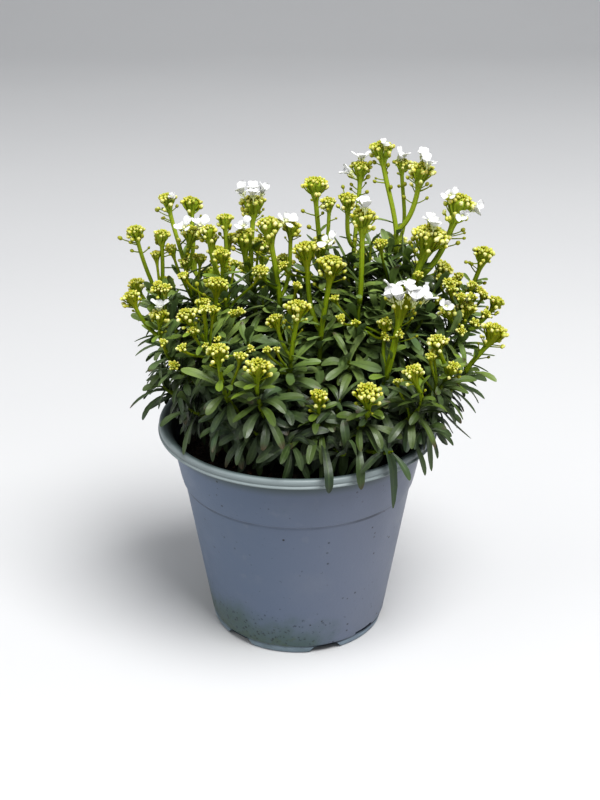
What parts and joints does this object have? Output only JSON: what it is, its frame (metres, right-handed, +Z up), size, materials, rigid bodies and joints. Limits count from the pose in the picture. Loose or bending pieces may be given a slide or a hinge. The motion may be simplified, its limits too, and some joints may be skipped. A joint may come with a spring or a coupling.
{
  "type": "potted evergreen candytuft in bud",
  "caption": "Bushy evergreen candytuft with narrow dark leaves, knobbly yellow-green bud heads and a few white flowers, growing in a thin round plastic nursery pot.",
  "frame": {"origin": "centre of the pot's underside, on the flat pad that it stands on", "axes": "+Z up along the pot's axis, -Y towards the viewer of the picture, +X to that viewer's right"},
  "size_m": [0.1705, 0.1349, 0.2283],
  "materials": {
    "pot_plastic": "satin blue-grey moulded plastic, bluer on one side and greyer on the other, with dusty specks, water marks and a green algae stain low down",
    "potting_soil": "nearly black, crumbly peat compost with small red-brown bits",
    "leaf": "leathery dark green, slightly bluish, with a soft sheen, yellower under the heads",
    "bud": "smooth yellow-green stalks and buds, paler and creamier at the buds' tips",
    "petal": "soft matte white petals with a greenish yellow middle"
  },
  "bodies": {
    "root": {"pot": "pot_plastic", "soil": "potting_soil", "leafy_stem_back_left": "leaf", "leafy_stem_back_left_mid": "leaf", "leafy_stem_back_mid": "leaf", "leafy_stem_back_right": "leaf", "leafy_stem_front_left": "leaf", "leafy_stem_front_left_mid": "leaf", "leafy_stem_front_mid": "leaf", "leafy_stem_front_right": "leaf", "leafy_stem_left": "leaf", "leafy_stem_left_mid": "leaf", "leafy_stem_mid": "leaf", "leafy_stem_mid_left": "leaf", "leafy_stem_mid_right": "leaf", "leafy_stem_rear_left": "leaf", "leafy_stem_rear_left_mid": "leaf", "leafy_stem_rear_right": "leaf", "leafy_stem_rear_right_mid": "leaf", "leafy_stem_right": "leaf", "leafy_stem_right_high": "leaf", "leafy_stem_right_low": "leaf", "spray_back_left_1": "bud", "spray_back_left_mid_1": "bud", "spray_back_mid_1": "bud", "spray_back_mid_2": "bud", "spray_back_right_1": "bud", "spray_front_left_1": "bud", "spray_front_left_2": "bud", "spray_front_left_mid_1": "bud", "spray_front_left_mid_2": "bud", "spray_front_mid_1": "bud", "spray_front_mid_2": "bud", "spray_front_right_1": "bud", "spray_front_right_2": "bud", "spray_left_1": "bud", "spray_left_2": "bud", "spray_left_mid_1": "bud", "spray_left_mid_2": "bud", "spray_mid_1": "bud", "spray_mid_left_1": "bud", "spray_mid_right_1": "bud", "spray_mid_right_2": "bud", "spray_rear_left_1": "bud", "spray_rear_left_2": "bud", "spray_rear_left_mid_1": "bud", "spray_rear_right_1": "bud", "spray_rear_right_mid_1": "bud", "spray_right_1": "bud", "spray_right_2": "bud", "spray_right_high_1": "bud", "spray_right_low_1": "bud", "flowers_spray_back_left_mid_1": "petal", "flowers_spray_back_mid_1": "petal", "flowers_spray_back_right_1": "petal", "flowers_spray_left_1": "petal", "flowers_spray_mid_right_1": "petal", "flowers_spray_mid_right_2": "petal", "flowers_spray_right_1": "petal", "flowers_spray_right_high_1": "petal"}
  },
  "joints": []
}
